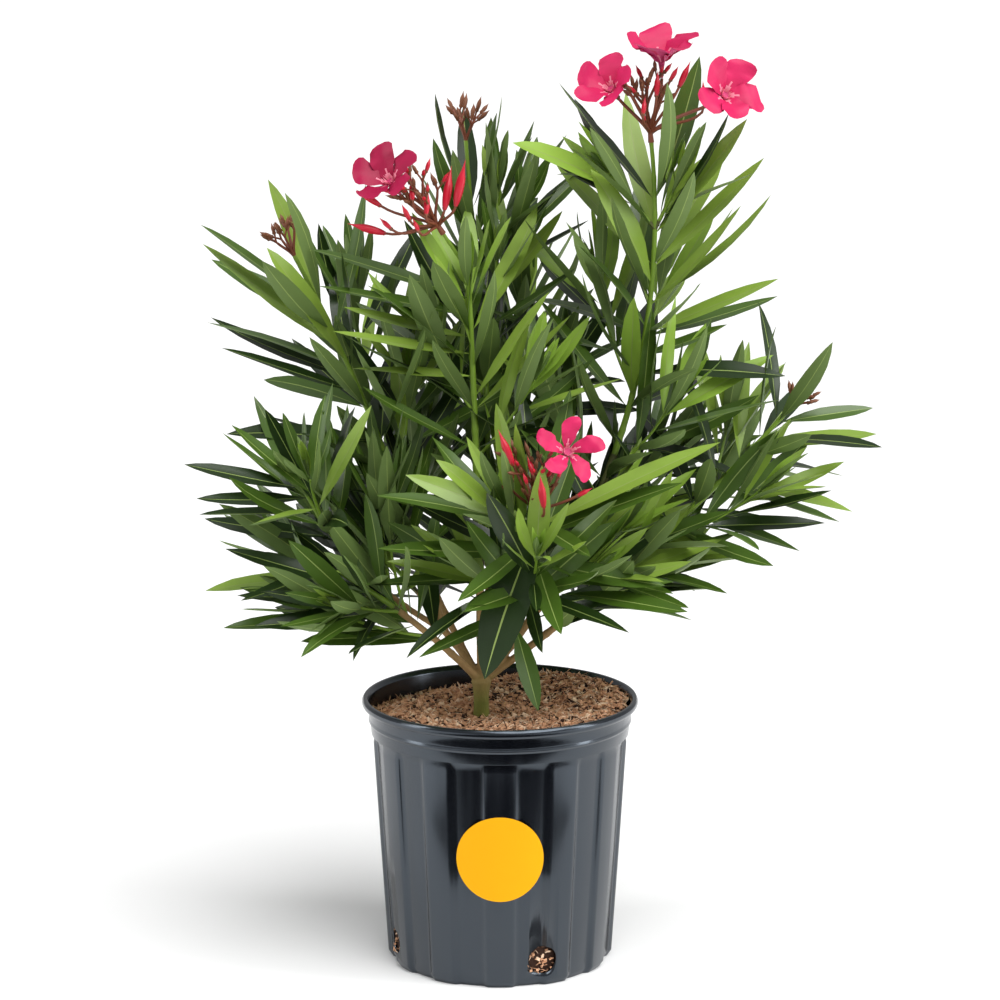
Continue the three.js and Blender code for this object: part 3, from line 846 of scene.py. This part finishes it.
def make_shoots(twigs):
    """The green and olive stems that run on from the boughs through the leaves."""
    pile = Pile()
    for name, limb in LIMBS.items():
        line = LINES[name]
        start = max(limb.bare - 4, 0) * MM

        def radius_at(distance, limb=limb, line=line):
            taper = (limb.foot + (limb.tip - limb.foot) * distance / line.length) * MM
            knot = np.maximum(0, np.cos(distance * 2 * math.pi / (33 * MM))) ** 8
            return taper * (0.95 - 0.25 * np.clip(distance / line.length, 0, 1)) * (1 + 0.16 * knot)

        end = line.length + (3 - cut_short(name)) * MM
        middle = start + (line.length - start) * (0.25 if limb.bare else 0.1)
        rings = max(6, round((line.length - start) / (4 * MM)))
        bend_rod(straight_rod(8, rings), line, start, middle, radius_at, OLIVE, pile)
        bend_rod(straight_rod(8, rings), line, middle - 1 * MM, end, radius_at, GREEN, pile)
    rod = straight_rod(7, 12)
    for twig, _, _ in twigs:
        bend_rod(rod, twig, 0, twig.length + 2 * MM, lambda d: (1.7 - 0.6 * d / twig.length) * MM,
                 GREEN, pile)
    settle(piece_of_pile("green_shoots", pile, SHOOT_SLOTS), "bark")


def trunk_rod():
    """The stem from the bark mix to its knobbly head, spun from its outline."""
    low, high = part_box("trunk")
    rise = high.z - low.z
    outline = [(0, -0.12), (8.0, -0.12), (7.6, 0.02), (7.2, 0.16), (6.9, 0.36), (7.1, 0.54), (8.2, 0.72),
               (9.2, 0.84), (8.0, 0.95), (5, 1.0), (0, 1.02)]
    bm = lathe([(radius * MM, share * rise) for radius, share in outline], 24)
    bmesh.ops.recalc_face_normals(bm, faces=bm.faces)
    points, faces, slots = arrays_of(bm)
    fork = trunk_fork()
    foot = np.array([fork[0], fork[1] - 3 * MM, low.z])
    lean = points[:, 2:] / rise * np.array([[0, 3 * MM, 0]])
    return points + foot + lean, faces, slots


def make_boughs():
    """Trunk and boughs as one skin, with swollen nodes and fine ridges of bark."""
    pile = Pile()
    pile.add(*trunk_rod())
    for name, limb in LIMBS.items():
        if not limb.bare:
            continue

        def radius_at(distance, limb=limb):
            taper = (limb.foot + (limb.tip - limb.foot) * distance / (limb.length * MM)) * MM
            collar = 0.86 + 0.35 * np.clip(1 - distance / (16 * MM), 0, 1) ** 2
            knot = np.maximum(0, np.cos((distance - 12 * MM) * 2 * math.pi / (31 * MM))) ** 10
            return taper * collar * (1 + 0.13 * knot)

        bend_rod(straight_rod(14, 50), LINES[name], 0, limb.bare * MM, radius_at, 0, pile)
    rough = piece_of_pile("trunk_and_boughs", pile, [BARK])
    remesh = rough.modifiers.new("skin", "REMESH")
    remesh.mode = "VOXEL"
    remesh.voxel_size = 0.8 * MM
    smooth = rough.modifiers.new("ease", "SMOOTH")
    smooth.iterations = 3
    skin = applied(rough)
    count = len(skin.vertices)
    points = np.empty(count * 3)
    normals = np.empty(count * 3)
    skin.vertices.foreach_get("co", points)
    skin.vertex_normals.foreach_get("vector", normals)
    points, normals = points.reshape(-1, 3), normals.reshape(-1, 3)
    ridges = np.array([noise.noise(Vector((x * 900, y * 900, z * 160)))
                       + 0.6 * noise.noise(Vector((x, y, z)) * 700) for x, y, z in points])
    points = points + normals * (ridges * 0.16 * MM)[:, None]
    skin.vertices.foreach_set("co", points.ravel())
    skin.shade_smooth()
    rough.data = skin
    if not skin.materials:
        skin.materials.append(BARK)
    settle(rough, "bark", "trunk", *[f"bough_{name}" for name, limb in LIMBS.items() if limb.bare])


# Blossom ------------------------------------------------------------------------------

PETAL_ROWS = (0, 0.1, 0.22, 0.36, 0.5, 0.64, 0.77, 0.88, 0.96, 1)
PETAL_OUTLINE = (0.16, 0.34, 0.5, 0.68, 0.85, 0.97, 1, 0.9, 0.64, 0.3)
PETAL_COLUMNS = (-1, -0.72, -0.36, -0.1, 0.1, 0.36, 0.72, 1)
PETAL_STREAK = 0.4              # how far up each petal the pale streaks run


def petal_blade(front, back):
    """A petal of one colour, with pale streaks that run up from the throat."""
    points, faces, slots = blade(PETAL_COLUMNS, PETAL_COLUMNS, PETAL_ROWS, PETAL_OUTLINE, 0.18 * MM,
                                 (front, front, back))
    for k, face in enumerate(faces):
        across, reach, _ = np.mean(points[face], axis=0)
        if slots[k] == front and reach < PETAL_STREAK and abs(across) < 0.16 - 0.3 * reach:
            slots[k] = THROAT
    return points, faces, slots


PETALS = {PETAL: petal_blade(PETAL, PETAL_BACK), PETAL_SHADED: petal_blade(PETAL_SHADED, PETAL_SHADED)}
SEPAL_BLADE = blade((-1, 0, 1), (-1, 0, 1), (0, 0.4, 1), (0.6, 1, 0), 0.35 * MM, (CALYX, CALYX, CALYX))
STALK_ROD = straight_rod(7, 8)
BUD_ROD = straight_rod(9, 12)
TUBE_ROD = straight_rod(10, 5)

# Open flowers of each head: place from the middle of the head's box in mm, compass turn
# and rise of the way it faces, breadth as a share, petal width as a share, first petal, how
# far the petals open, in degrees, and its colour, where the left-hand flower's darker petal
# colour is painted shade.
BLOOMS = {
    "flower_head_top": [
        ((-29, -12, -6), 236, 36, 1.02, 0.95, 10, 40, PETAL),
        ((17, 4, 20), 262, 74, 1.15, 1.1, 30, 40, PETAL),
        ((74, -10, -12), -66, 22, 1.06, 1.05, 55, 52, PETAL),
    ],
    "flower_head_left": [((-14, -14, 2), 232, 42, 1.05, 0.95, 34, 46, PETAL_SHADED)],
    "flower_head_front": [((33, 8, -6), -78, 24, 0.98, 0.66, 8, 56, PETAL)],
}

# Closed buds large enough to matter: place of the bud's foot in the same way, turn, rise,
# and length in mm.
BUDS = {
    "flower_head_top": [
        ((12, -14, -14), 60, 84, 24), ((32, -10, -6), 10, 66, 26), ((0, -20, -30), 70, 70, 18),
        ((54, -22, -20), 250, 78, 22), ((-18, -8, 4), 130, 60, 20), ((2, -12, -36), 240, 60, 12),
        ((24, -12, 0), 340, 60, 16),
    ],
    "flower_head_left": [
        ((34, 4, -26), 60, 72, 40), ((44, 0, -22), 0, 78, 42), ((-18, -2, -46), 195, 16, 36),
        ((-22, 0, -22), 190, 34, 27), ((6, -4, -18), 100, 70, 22), ((4, -10, -34), 215, 60, 18),
        ((18, -8, -30), 80, 65, 24), ((-12, -8, -42), 160, 40, 16), ((12, -10, -44), 150, 60, 14),
    ],
    "flower_head_front": [
        ((-14, 6, -18), 165, 66, 34), ((12, -10, -52), 250, 72, 32), ((4, 6, -28), 130, 60, 20),
        ((40, 0, -44), 0, 28, 16), ((24, 8, -30), 60, 50, 12), ((-2, 0, -34), 190, 70, 12),
    ],
}

# The shoot each head grows from, and how far short of the shoot's tip it starts, in mm.
HEAD_SHOOT = {
    "flower_head_top": ("leader", 0),
    "flower_head_left": ("flower_stalk", 46),
    "flower_head_front": ("front", 0),
}

# Limbs that end in unopened buds: how far the stalks spread, the size of the buds, and how far
# short of the limb's tip they start, in mm.
DRY_TIPS = {"left_high": (28, 12, -4), "rear_high": (22, 14, 30), "right": (14, 12, 26)}


def ring_of(way, count, first):
    """Directions square to a way, spread evenly round it."""
    side = unit(np.cross(way, (0.3, 0.2, 1) if abs(way[2]) < 0.9 else (1, 0, 0)))
    out = np.cross(way, side)
    return [between(side, out, angle) for angle in np.radians(first + 360 / count * np.arange(count))]


def bloom(centre, way, breadth, petal_width, first, opened, colour, pile, rng):
    """An open flower: a tube, five petals set like a pinwheel, and a fringed throat."""
    tube = Line([centre - way * 19 * MM, centre - way * 9 * MM, centre - way * 1 * MM])
    bend_rod(TUBE_ROD, tube, 0, tube.length, lambda d: (1.4 + 2.6 * (d / tube.length) ** 1.6) * MM,
             PETAL_BACK, pile)
    petals, fringes = [], []
    for out in ring_of(way, 5, first):
        lean = math.radians(22)
        along = unit(between(way, out, lean))
        face = unit(math.sin(lean) * way - math.cos(lean) * out)
        side = np.cross(along, face)
        length = 31 * MM * breadth * rng.uniform(0.94, 1.05)
        petals.append(Blade(centre - way * 4 * MM + out * 3 * MM, unit(along + 0.12 * side), face, length,
                            26 * MM * breadth * petal_width, math.radians(rng.uniform(-6, 14)),
                            -math.radians(opened + rng.uniform(-14, 10)), 0.45, rng.normal(-0.2, 0.25),
                            rng.uniform(0.2, 0.55), 0.2, rng.uniform(1.4, 2.8) * MM, PETAL))
        for turn in (-0.35, 0.35):
            along = unit(way + 0.35 * out + turn * side)
            fringes.append(Blade(centre - way * 2 * MM + out * 2.6 * MM, along, face, rng.uniform(5, 8) * MM,
                                 2.2 * MM, 0.1, 0.1, 1, 0, 0, 0, 0, THROAT))
    lay_blades(PETALS[colour], petals, pile, tinted=False)
    lay_blades((SEPAL_BLADE[0], SEPAL_BLADE[1], [THROAT] * len(SEPAL_BLADE[2])), fringes, pile, tinted=False)
    calyx(centre - way * 19 * MM, way, 7, pile)
    return centre - way * 20 * MM


def calyx(foot, way, length, pile):
    sepals = []
    for out in ring_of(way, 5, 20):
        along = unit(way + 0.3 * out)
        face = across_of(along, unit(0.3 * way - out))
        sepals.append(Blade(foot + out * 0.8 * MM, along, face, length * MM, length * 0.42 * MM, 0.3, 0.2, 1,
                            0, 0, 0, 0, CALYX))
    lay_blades(SEPAL_BLADE, sepals, pile, tinted=False)


def bud(foot, way, length, slot, pile):
    """A furled bud: slender, widest past its middle, pointed."""
    line = Line([foot, foot + way * length * MM / 2, foot + way * length * MM])
    thick = (0.9 + 0.078 * length) * MM

    def radius_at(distance):
        share = np.clip(distance / line.length, 0, 1)
        return thick * (0.42 + 0.58 * np.sin(math.pi * share**0.8)) * np.clip((1.02 - share) * 2.2, 0.02, 1)

    bend_rod(BUD_ROD, line, 0, line.length, radius_at, slot, pile)
    calyx(foot - way * 1 * MM, way, 3 + 0.09 * length, pile)


def stalk(start, start_way, end, end_way, radius, pile, slot=STALK):
    line = Line.joining(start, start_way, end, end_way)
    bend_rod(STALK_ROD, line, 0, line.length, lambda d: radius * MM * (1 + 0.25 * (1 - d / line.length)),
             slot, pile)
    return line


def cyme(foot, way, spread, count, size, pile, rng, dry=0.75):
    """A branching head of small unopened buds on short stalks."""
    for out in ring_of(way, count, rng.uniform(0, 90)):
        lean = rng.uniform(0.25, 0.6)
        branch_way = unit(way + lean * out)
        tip = foot + branch_way * spread * MM * rng.uniform(0.7, 1.1)
        stalk(foot, way, tip, branch_way, 1.2, pile)
        for side in ring_of(branch_way, 3, rng.uniform(0, 90)):
            small_way = unit(branch_way + rng.uniform(0.3, 0.7) * side)
            end = tip + small_way * size * MM * rng.uniform(0.5, 1)
            stalk(tip, branch_way, end, small_way, 0.8, pile)
            bud(end, small_way, rng.uniform(0.6, 1.1) * size, CALYX if rng.random() < dry else BUD, pile)


def make_flower_heads():
    for order, (node, blooms) in enumerate(BLOOMS.items()):
        rng = np.random.default_rng(40 + order)
        pile = Pile()
        low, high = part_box(node)
        middle = np.array((low + high) / 2)
        limb, short = HEAD_SHOOT[node]
        shoot = LINES[limb]
        foot, way = shoot.point(shoot.length - (short + 2) * MM), shoot.way(shoot.length - short * MM)
        heart = foot + way * 8 * MM
        crown = heart + 0.4 * (middle - heart)
        stalk(foot, way, heart, way, 2.3, pile)
        stalk(heart, way, crown, unit(middle - heart), 1.9, pile)
        for place, turn, rise, *shape in blooms:
            facing = heading(turn, rise)
            end = bloom(middle + np.array(place) * MM, facing, *shape, pile, rng)
            stalk(heart, unit(unit(end - heart) + 0.4 * way), end, facing, 1.5, pile)
        for place, turn, rise, length in BUDS[node]:
            end = middle + np.array(place) * MM
            facing = heading(turn, rise)
            stalk(heart, unit(unit(end - heart) + 0.3 * way), end, facing, 1.2, pile)
            bud(end, facing, length, BUD, pile)
        cyme(heart, way, 34, 5, 12, pile, rng)
        cyme(crown, unit(middle - heart), 26, 5, 13, pile, rng, dry=0.6)
        name = node.replace("flower_head", "blossom")
        settle(piece_of_pile(name, pile, BLOSSOM_SLOTS, 60), "blossom", node)
    pile = Pile()
    rng = np.random.default_rng(60)
    for name, (spread, size, short) in DRY_TIPS.items():
        line = LINES[name]
        cyme(line.point(line.length - short * MM), line.way(line.length), spread, 5, size, pile, rng, dry=1)
    settle(piece_of_pile("unopened_heads", pile, BLOSSOM_SLOTS, 60), "blossom")


# Pot, label and bark mix --------------------------------------------------------------

FLUTES = 24
FLUTE_DEPTH = 1.7
FLUTE_EDGE = 1.4
DRAIN_HOLES = 4
DRAIN_RADIUS = 13
DRAIN_HEIGHT = 25
DRAIN_FIRST_ANGLE = 22
LABEL_RADIUS = 40
LABEL_HEIGHT = 124
MIX_TOP = 237
CHIPS = 5200
FIBRE_SHARE = 0.6
HOLE_CHIP = 26                  # one chip in so many lies in a drain hole

# The pot's wall from the middle of the underside, up outside, over the lip and down inside.
POT_OUTSIDE = [(0, 1.2), (60, 0.8), (90, 0), (98.2, 0), (102.4, 6), (109.2, 110), (115, 205), (115.6, 213)]
POT_COLLAR = [(118.5, 213.5), (119.5, 224), (121.2, 226), (120.5, 229), (121.5, 238.5), (125.5, 239),
              (127, 241.5), (127, 244.5), (125.5, 247), (122.5, 247)]
POT_INSIDE = [(120, 243), (118.5, 225), (113, 213), (106, 110), (99.8, 8), (96, 3), (0, 3.4)]


def flute(angle):
    """How far a flute stands out at an angle from the front: 1 on a panel, -1 between."""
    step = 360 / FLUTES
    nearest = np.round(angle / step)
    edge = np.clip((step / 2 - np.abs(angle - nearest * step)) / FLUTE_EDGE, 0, 1)
    return np.where(nearest % 2 == 0, 1, -1) * edge * edge * (3 - 2 * edge)


def wall_radius(height):
    radii, heights = zip(*POT_OUTSIDE[4:7])
    return np.interp(height, heights, radii)


def angle_from_front(x, y):
    return np.degrees(np.arctan2(x, -y))


def make_pot():
    bm = lathe(in_mm(POT_OUTSIDE + POT_COLLAR + POT_INSIDE), FLUTES * 12)
    bmesh.ops.recalc_face_normals(bm, faces=bm.faces)
    rings = [edge for edge in bm.edges
             if abs(edge.verts[0].co.z - edge.verts[1].co.z) < 1e-6 and edge.verts[0].co.z > 205 * MM
             and abs(edge.verts[0].co.length - edge.verts[1].co.length) < 1e-5]
    bmesh.ops.bevel(bm, geom=rings, offset=0.5 * MM, segments=2, profile=0.5, affect="EDGES", material=-1,
                    clamp_overlap=True)
    for vert in bm.verts:
        height, radius = vert.co.z / MM, math.hypot(vert.co.x, vert.co.y) / MM
        outside = 5 < height < 212 and radius > wall_radius(height) - 0.6
        heel = height < 1 and radius > 94
        if outside or heel:
            depth = FLUTE_DEPTH * float(flute(angle_from_front(vert.co.x, vert.co.y)))
            vert.co.x *= 1 + depth / radius
            vert.co.y *= 1 + depth / radius
    piece = piece_of_bmesh("fluted_pot", bm, [POT_PLASTIC], 35)
    for k in range(DRAIN_HOLES):
        cut_drain_hole(piece, math.radians(DRAIN_FIRST_ANGLE + k * 360 / DRAIN_HOLES))
    settle(piece, "pot", "pot")


def cut_drain_hole(piece, angle):
    bm = bmesh.new()
    lie = (Matrix.Rotation(angle, 4, "Z") @ Matrix.Translation((0, -104 * MM, DRAIN_HEIGHT * MM))
           @ Matrix.Rotation(math.pi / 2, 4, "X"))
    radius = DRAIN_RADIUS * MM
    bmesh.ops.create_cone(bm, cap_ends=True, segments=36, radius1=radius, radius2=radius, depth=24 * MM,
                          matrix=lie)
    bore = piece_of_bmesh("bore", bm, [POT_PLASTIC])
    cut = piece.modifiers.new("drain", "BOOLEAN")
    cut.operation = "DIFFERENCE"
    cut.object = bore
    piece.data = applied(piece)
    bpy.data.objects.remove(bore)


def make_label():
    """A round yellow film label laid over the flutes."""
    bm = lathe([(share * LABEL_RADIUS * MM, 0) for share in np.linspace(0, 1, 15)], 96)
    for vert in bm.verts:
        height = LABEL_HEIGHT + vert.co.y / MM
        radius = float(wall_radius(height)) + FLUTE_DEPTH * 0.9 + 0.3
        angle = vert.co.x / (radius * MM)
        vert.co = (radius * MM * math.sin(angle), -radius * MM * math.cos(angle), height * MM)
    bmesh.ops.solidify(bm, geom=bm.faces[:], thickness=-0.25 * MM)
    bmesh.ops.recalc_face_normals(bm, faces=bm.faces)
    settle(piece_of_bmesh("round_label", bm, [LABEL_FILM], 40), "label")


def smoothstep(value, low, high):
    share = np.clip((value - low) / (high - low), 0, 1)
    return share * share * (3 - 2 * share)


def mix_height(x, y):
    """Height of the bark mix in mm: level by the stem, heaped at the rim, sunk at the back left."""
    radius = np.hypot(x, y)
    outward = smoothstep(radius, 45, 105)
    sunk = smoothstep((y - x) / math.sqrt(2), 50, 115)
    ripple = np.sin(x / 13 + 1) * np.cos(y / 17) - 1
    return MIX_TOP + outward * (3 - 13 * sunk + ripple) - 0.3 * (1 - outward) * (1 + ripple) ** 2


def heap(radius, back):
    """How much higher, in mm, the mix is heaped near the wall, but for the back left."""
    return 4.5 * smoothstep(radius, 60, 112) * (1 - smoothstep(back, 30, 110))


def make_mix():
    """The bark mix's body, with a lumpy top, in the darkest mix colour: painted shade in the gaps between the
    chips.
    """
    profile = [(0, 4), (95, 4), (99, 12), (105, 110), (111.8, 213), (117.2, 233), (114, 236)]
    profile += [(radius, MIX_TOP) for radius in range(108, -1, -6)]
    bm = lathe(in_mm(profile), 96)
    bmesh.ops.recalc_face_normals(bm, faces=bm.faces)
    for vert in bm.verts:
        x, y, z = vert.co / MM
        if z > 230:
            lump = noise.noise(Vector((x, y, 0)) * 0.12) + 0.6 * noise.noise(Vector((x, y, 3)) * 0.35)
            edge = 4 if z < MIX_TOP - 0.5 else 0
            raised = float(heap(math.hypot(x, y), y - x))
            vert.co.z = (float(mix_height(x, y)) - 1.5 - edge + raised + 1.6 * lump) * MM
    settle(piece_of_bmesh("bark_mix", bm, [MIX_SLOTS[3]], 60), "soil", "soil")


def chip_in_hole(number, rng):
    """A place just inside one of the drain holes, in mm."""
    hole = math.radians(DRAIN_FIRST_ANGLE + 90 * (number % DRAIN_HOLES)) + rng.uniform(-0.13, 0.13)
    depth = rng.uniform(99, 101.8)
    return np.array([depth * math.sin(hole), -depth * math.cos(hole), DRAIN_HEIGHT + rng.uniform(-14, 14)])


def chip_on_top(rng):
    """A place on top of the mix, in mm."""
    radius, angle = 117 * math.sqrt(rng.random()), rng.uniform(0, 2 * math.pi)
    x, y = radius * math.cos(angle), radius * math.sin(angle)
    return np.array([x, y, float(mix_height(x, y)) + heap(radius, y - x) + rng.uniform(-1.2, 1.6)])


def make_chips():
    """Loose chips and fibres over the mix and behind the drain holes."""
    rng = np.random.default_rng(7)
    bm = bmesh.new()
    bmesh.ops.create_cube(bm, size=1)
    bmesh.ops.bevel(bm, geom=bm.edges[:4], offset=0.2, segments=1, profile=0.5, affect="EDGES", material=-1)
    points, faces, _ = arrays_of(bm)
    pile = Pile()
    for number in range(CHIPS):
        if rng.random() < FIBRE_SHARE:
            size = (rng.uniform(6, 15), 0.55, 0.5)
        else:
            size = (rng.uniform(2.5, 7), rng.uniform(1.6, 4), rng.uniform(1, 2.4))
        turn = (Matrix.Rotation(rng.uniform(0, 6.28), 3, "Z") @ Matrix.Rotation(rng.normal(0, 0.45), 3, "X")
                @ Matrix.Rotation(rng.normal(0, 0.4), 3, "Y"))
        if number % HOLE_CHIP == 0:
            place = chip_in_hole(number // HOLE_CHIP, rng)
            size = tuple(0.75 * s for s in size)
        else:
            place = chip_on_top(rng)
        shaped = (points * (1 + 0.35 * rng.normal(size=points.shape).clip(-1, 1))) * size
        placed = shaped @ np.array(turn).T + place
        reach = np.hypot(placed[:, 0], placed[:, 1])
        limit = np.where(placed[:, 2] > 200, 118.5, 102.2)
        placed[:, :2] *= (limit / np.maximum(reach, limit))[:, None]
        pile.add(placed * MM, faces, [int(rng.choice(4, p=[0.32, 0.34, 0.2, 0.14]))] * len(faces))
    settle(piece_of_pile("bark_chips", pile, MIX_SLOTS, 30), "soil")


def make_floor():
    bm = bmesh.new()
    bmesh.ops.create_grid(bm, x_segments=1, y_segments=1, size=FLOOR_SIZE / 2)
    piece_of_bmesh("floor", bm, [FLOOR_PAINT])


def make_flag():
    """A black card on the floor in front, seen only in the pot's gloss."""
    bm = bmesh.new()
    lie = Matrix.Translation(FLAG_PLACE) @ Matrix.Diagonal((*FLAG_HALF_SIZE, 1, 1))
    bmesh.ops.create_grid(bm, x_segments=1, y_segments=1, size=1, matrix=lie)
    card = piece_of_bmesh("black_flag", bm, [FLAG_BLACK])
    card.visible_camera = False
    card.visible_diffuse = False
    card.visible_shadow = False
    card.visible_transmission = False


set_camera()
set_lights()
make_floor()
make_flag()
make_shoots(make_sprays())
make_boughs()
make_flower_heads()
make_pot()
make_label()
make_mix()
make_chips()
